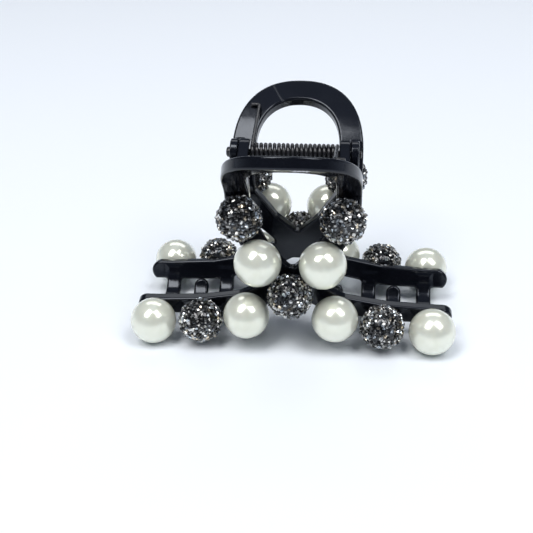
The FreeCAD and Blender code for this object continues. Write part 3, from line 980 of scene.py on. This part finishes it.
shapes = chip_shapes(rng, CHIP_SHAPES)
for side in ("back", "front"):
    for kind, (seat_x, _) in SEATS.items():
        for x_sign in ((1,) if seat_x == 0 else (-1, 1)):
            if kind.startswith("pearl"):
                node, bead = build_pearl(side, kind, x_sign, rng)
                bead.data.materials.append(nacre)
            else:
                node, bead = build_crystal(side, kind, x_sign, rng, shapes)
                bead.data.materials.append(chips)
            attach(bead, BODY[side])
            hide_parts(node)

pin = build_pin()
pin.data.materials.append(metal)
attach(pin, BACK)
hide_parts("hinge_pin")

spring = build_spring()
spring.data.materials.append(metal)
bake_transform(spring)
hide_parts("spring_coil", "spring_back_leg", "spring_front_leg")

# ---- floor, light and camera ----
LOOK_AT = (0, 0, 0.025)
FLOOR_SIDE = 6
FLOOR_LEVEL = -0.00003
scene = bpy.context.scene


def plane(name, size_x, size_y):
    mesh = bpy.data.meshes.new(name)
    x, y = size_x / 2, size_y / 2
    mesh.from_pydata([(-x, -y, 0), (x, -y, 0), (x, y, 0), (-x, y, 0)], [], [(0, 1, 2, 3)])
    made = bpy.data.objects.new(name, mesh)
    scene.collection.objects.link(made)
    return made


def direction(azimuth, elevation):
    """The way from the clip towards a camera at these angles, in radians."""
    return Vector((math.sin(azimuth) * math.cos(elevation),
                   -math.cos(azimuth) * math.cos(elevation), math.sin(elevation)))


def aim(thing, azimuth, elevation, distance):
    """Puts a thing at these angles, in degrees, and turns its -Z to the clip."""
    target = Vector(LOOK_AT)
    place = target + distance * direction(math.radians(azimuth), math.radians(elevation))
    thing.location = place
    thing.rotation_euler = (target - place).to_track_quat("-Z", "Y").to_euler()


floor = plane("floor", FLOOR_SIDE, FLOOR_SIDE)
floor.location.z = FLOOR_LEVEL
paper = Nodes("floor_paper")
paper.shader.inputs["Base Color"].default_value = (0.862, 0.898, 0.945, 1)
paper.set(Roughness=0.5, Specular_IOR_Level=0.3)
floor.data.materials.append(paper.material)


def softbox(name, azimuth, elevation, distance, size, watts, colour):
    data = bpy.data.lights.new(name, "AREA")
    data.shape = "RECTANGLE"
    data.size, data.size_y = size
    data.energy = watts
    data.color = colour
    lamp = bpy.data.objects.new(name, data)
    scene.collection.objects.link(lamp)
    aim(lamp, azimuth, elevation, distance)


softbox("left_softbox", -42, 62, 1.6, (0.6, 1.0), 16.8, (1.0, 0.995, 0.985))
softbox("right_softbox", 58, 58, 1.6, (0.6, 1.0), 13.2, (0.98, 0.99, 1.0))
softbox("back_softbox", 180, 48, 2.0, (2.1, 0.75), 9.2, (0.96, 0.98, 1.0))

# A grey card stands for what is dark on the photographer's side. It is behind the camera.
card = plane("grey_card", 0.3, 0.36)
aim(card, 9, 48, 0.62)
grey = Nodes("grey_card")
grey.shader.inputs["Base Color"].default_value = (0.05, 0.05, 0.05, 1)
grey.set(Roughness=0.9)
card.data.materials.append(grey.material)
card.visible_camera = False
card.visible_shadow = False
card.visible_diffuse = False

# The room's light by height, from the horizon (0) to straight up (1).
ROOM_LIGHT = ((0.0, (0.46, 0.52, 0.62, 1)), (0.3, (0.06, 0.072, 0.095, 1)),
              (0.8, (0.05, 0.062, 0.085, 1)), (1.0, (0.24, 0.28, 0.37, 1)))
world = bpy.data.worlds.new("room")
scene.world = world
world.use_nodes = True
tree = world.node_tree
tree.nodes.clear()
output = tree.nodes.new("ShaderNodeOutputWorld")
background = tree.nodes.new("ShaderNodeBackground")
where = tree.nodes.new("ShaderNodeTexCoord")
split = tree.nodes.new("ShaderNodeSeparateXYZ")
ramp = tree.nodes.new("ShaderNodeValToRGB")
tree.links.new(where.outputs["Generated"], split.inputs[0])
tree.links.new(split.outputs[2], ramp.inputs[0])
tree.links.new(ramp.outputs[0], background.inputs[0])
tree.links.new(background.outputs[0], output.inputs[0])
bands = ramp.color_ramp.elements
bands.remove(bands[1])
for index, (height, colour) in enumerate(ROOM_LIGHT):
    band = bands[0] if index == 0 else bands.new(height)
    band.position, band.color = height, colour
background.inputs[1].default_value = 1.0

# The camera, fitted to the outlines of the photo's beads. Its target is in millimetres.
FOCAL_PIXELS = 875.03
IMAGE_SIDE = 533
SENSOR_WIDTH = 36
CAMERA_ANGLES = (6.549, 30.595, -1.3245)     # azimuth, elevation, roll
CAMERA_TARGET = (-7.769, 0, PIN_UP - 33.307)
CAMERA_DISTANCE = 0.23703
camera_data = bpy.data.cameras.new("camera")
camera_data.sensor_width = SENSOR_WIDTH
camera_data.lens = SENSOR_WIDTH * FOCAL_PIXELS / IMAGE_SIDE
camera_data.clip_start = 0.01
camera = bpy.data.objects.new("camera", camera_data)
scene.collection.objects.link(camera)
azimuth, elevation, roll = (math.radians(angle) for angle in CAMERA_ANGLES)
backward = direction(azimuth, elevation)
right = Vector((math.cos(azimuth), math.sin(azimuth), 0))
up = backward.cross(right)
turned_right = right * math.cos(roll) + up * math.sin(roll)
turned_up = up * math.cos(roll) - right * math.sin(roll)
matrix = Matrix((turned_right, turned_up, backward)).transposed().to_4x4()
matrix.translation = Vector(CAMERA_TARGET) * MM + backward * CAMERA_DISTANCE
camera.matrix_world = matrix
scene.camera = camera
scene.view_settings.view_transform = "Standard"
